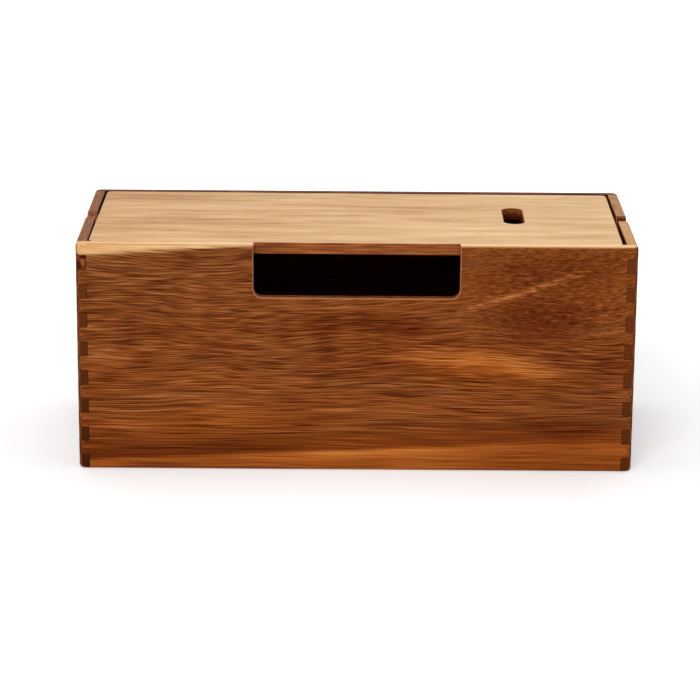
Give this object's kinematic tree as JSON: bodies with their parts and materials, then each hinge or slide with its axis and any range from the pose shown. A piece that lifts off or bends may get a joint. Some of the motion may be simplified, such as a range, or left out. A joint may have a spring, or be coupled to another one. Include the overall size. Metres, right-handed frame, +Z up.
{
  "type": "cable management box",
  "caption": "Oiled wooden box with finger-jointed walls, an open-topped front cable opening, slots in both end walls and a loose flush lid with an oblong hole.",
  "frame": {"origin": "middle of the underside, on the surface the box stands on", "axes": "+X to the box's right, along its length; +Y to its back; +Z up"},
  "size_m": [0.31, 0.135, 0.13],
  "materials": {
    "acacia_walls": "oiled satin, reddish-brown heartwood with the grain along X",
    "acacia_end_walls": "oiled satin, reddish-brown heartwood with the grain along Y",
    "acacia_base": "oiled satin, grain along X",
    "acacia_lid": "oiled satin, pale board with fine straight grain along X",
    "acacia_blocks": "sanded, grain upright"
  },
  "bodies": {
    "box": {"front_panel": "acacia_walls", "back_panel": "acacia_walls", "left_panel": "acacia_end_walls", "right_panel": "acacia_end_walls", "bottom_panel": "acacia_base", "lid_block_front_left": "acacia_blocks", "lid_block_front_right": "acacia_blocks", "lid_block_back_left": "acacia_blocks", "lid_block_back_right": "acacia_blocks"},
    "lid": {"lid": "acacia_lid"}
  },
  "joints": [
    {"name": "lid_lift", "type": "slide", "parent": "box", "child": "lid", "axis": [0, 0, 1], "range_m": [0, 0.08]}
  ]
}
